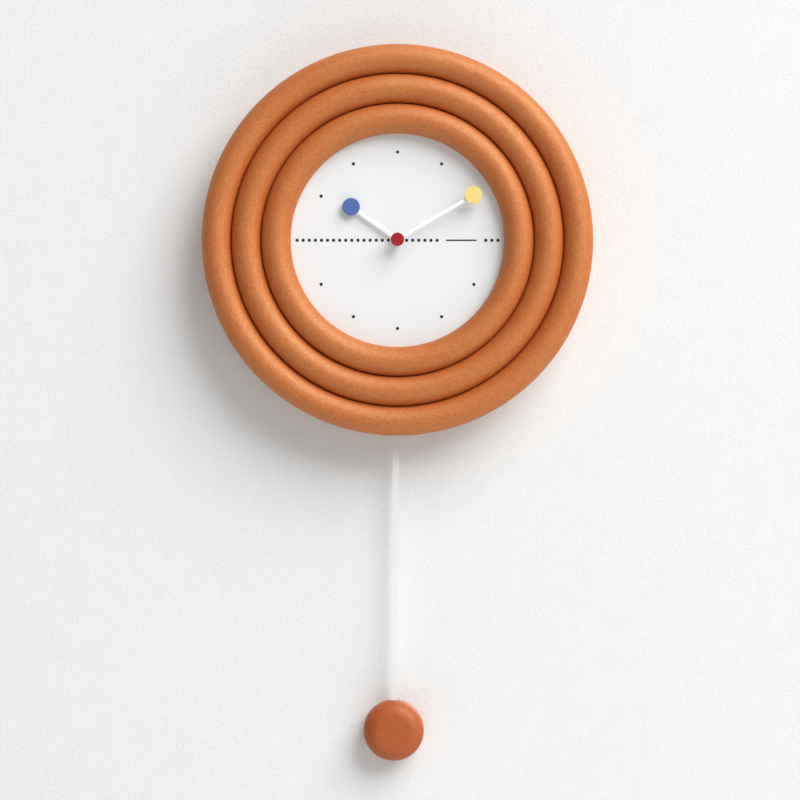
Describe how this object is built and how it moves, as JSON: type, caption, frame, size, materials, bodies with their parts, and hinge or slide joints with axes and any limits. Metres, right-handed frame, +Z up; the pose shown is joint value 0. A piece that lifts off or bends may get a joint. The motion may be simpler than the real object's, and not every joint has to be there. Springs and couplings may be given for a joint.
{
  "type": "pendulum wall clock",
  "caption": "Round wall clock with a triple-bead wooden frame, a white dotted dial, disc-ended hands, a battery movement and a hanging pendulum with a wooden bob.",
  "frame": {"origin": "centre of the round hole of the keyhole in the hanger plate, on the back plane that rests on the wall", "axes": "+X to the right of someone facing the clock, +Z up, +Y into the wall; the front faces -Y"},
  "size_m": [0.3, 0.046, 0.5519],
  "materials": {
    "wood": "satin lacquer, warm red-brown",
    "board": "bare board",
    "dial_white": "matt white",
    "print_black": "printed",
    "white_paint": "smooth white",
    "red": "satin",
    "blue": "matt",
    "yellow": "matt",
    "black_plastic": "moulded",
    "white_plastic": "moulded",
    "steel": "zinc plated",
    "brass": "turned",
    "copper": "enamelled wire",
    "circuit": "solder mask",
    "battery_wrap": "plain wrap",
    "magnet": "nickel plated"
  },
  "bodies": {
    "case": {"inner_bead_ring": "wood", "middle_bead_ring": "wood", "outer_bead_ring": "wood", "back_board": "board", "rear_hoop": "board", "dial_plate": "dial_white", "dial_markers": "print_black", "hanger_plate": "steel", "ring_screws": "steel", "hoop_screws": "steel", "hanger_screws": "steel", "movement_housing": "black_plastic", "movement_cover": "black_plastic", "cover_screws": "steel", "pendulum_pivot_pin": "steel", "neck_bushing": "brass", "neck_washer": "brass", "neck_nut": "brass", "battery_contact": "steel", "battery_spring": "steel", "coil_bobbin": "black_plastic", "motor_coil": "copper", "motor_stator": "steel", "circuit_board": "circuit", "quartz_crystal": "steel", "circuit_chip": "black_plastic", "pendulum_coil": "copper", "train_plate": "white_plastic"},
    "minute_hand_set": {"minute_arbor": "brass", "centre_wheel": "white_plastic", "minute_hand": "white_paint", "minute_disc": "yellow", "centre_cap": "red"},
    "hour_hand_set": {"hour_wheel": "white_plastic", "hour_hand": "white_paint", "hour_disc": "blue"},
    "motion_set": {"motion_wheel": "white_plastic", "setting_knob": "black_plastic"},
    "third_wheel_set": {"third_wheel": "white_plastic"},
    "fourth_wheel_set": {"fourth_wheel": "white_plastic"},
    "fifth_wheel_set": {"fifth_wheel": "white_plastic"},
    "rotor_set": {"rotor_pinion": "white_plastic", "rotor_magnet": "magnet"},
    "battery": {"battery_cell": "battery_wrap"},
    "pendulum": {"pendulum_arm": "black_plastic", "pendulum_magnet": "magnet", "rod_rivet": "steel", "pendulum_rod": "white_paint", "pendulum_bob": "wood", "bob_screw": "steel"}
  },
  "joints": [
    {"name": "minute_turn", "type": "hinge", "parent": "case", "child": "minute_hand_set", "pos_m": [0, -0.0178, -0.111], "axis": [0, 1, 0], "continuous": true},
    {"name": "hour_turn", "type": "hinge", "parent": "case", "child": "hour_hand_set", "pos_m": [0, -0.0212, -0.111], "axis": [0, 1, 0], "continuous": true},
    {"name": "motion_turn", "type": "hinge", "parent": "case", "child": "motion_set", "pos_m": [0.00951, -0.0196, -0.11234], "axis": [0, 1, 0], "continuous": true},
    {"name": "third_turn", "type": "hinge", "parent": "case", "child": "third_wheel_set", "pos_m": [-0.00846, -0.0162, -0.10792], "axis": [0, 1, 0], "continuous": true},
    {"name": "fourth_turn", "type": "hinge", "parent": "case", "child": "fourth_wheel_set", "pos_m": [-0.00634, -0.0146, -0.10004], "axis": [0, 1, 0], "continuous": true},
    {"name": "rotor_turn", "type": "hinge", "parent": "case", "child": "rotor_set", "pos_m": [0.00851, -0.0105, -0.09926], "axis": [0, 1, 0], "continuous": true},
    {"name": "fifth_turn", "type": "hinge", "parent": "case", "child": "fifth_wheel_set", "pos_m": [0.00153, -0.013, -0.09865], "axis": [0, 1, 0], "continuous": true},
    {"name": "pendulum_swing", "type": "hinge", "parent": "case", "child": "pendulum", "pos_m": [0, -0.013, -0.148], "axis": [0, 1, 0], "range_deg": [-6.5, 5.5]},
    {"name": "battery_slide", "type": "slide", "parent": "case", "child": "battery", "axis": [0, 1, 0], "range_m": [0, 0.03]}
  ],
  "couplings": [
    {"joint": "hour_turn", "follows": "minute_turn", "ratio": 0.083333},
    {"joint": "motion_turn", "follows": "minute_turn", "ratio": -0.33333},
    {"joint": "third_turn", "follows": "minute_turn", "ratio": -8},
    {"joint": "fourth_turn", "follows": "minute_turn", "ratio": 60},
    {"joint": "fifth_turn", "follows": "rotor_turn", "ratio": -0.16667}
  ]
}
